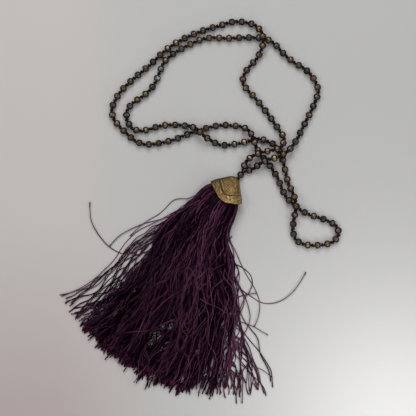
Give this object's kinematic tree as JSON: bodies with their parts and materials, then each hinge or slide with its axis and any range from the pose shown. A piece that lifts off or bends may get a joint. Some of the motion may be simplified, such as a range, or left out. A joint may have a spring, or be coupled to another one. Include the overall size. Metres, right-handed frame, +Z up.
{
  "type": "tassel necklace",
  "caption": "Long necklace of knotted faceted beads with a flattened antique brass cap and a wide thread tassel, laid flat in loose overlapping loops.",
  "frame": {"origin": "middle of the necklace's outline as it lies, on the surface that it lies on", "axes": "+Z up from the surface, +Y from the tassel's fringe towards the far end of the loops, +X to the right seen from above"},
  "size_m": [0.1721, 0.2387, 0.0114],
  "materials": {
    "bead_glass": "fire polished glass, opaque metallic bronze coating",
    "silk_cord": "dark plum twisted cord, knotted",
    "antique_brass": "antique brass, worn high spots and a hammered border",
    "tassel_thread": "plum rayon threads with a soft sheen"
  },
  "bodies": {
    "root": {"beads": "bead_glass", "joining_bead": "bead_glass", "cord": "silk_cord", "neck_knot": "silk_cord", "tassel_cap": "antique_brass", "tassel": "tassel_thread"}
  },
  "joints": []
}
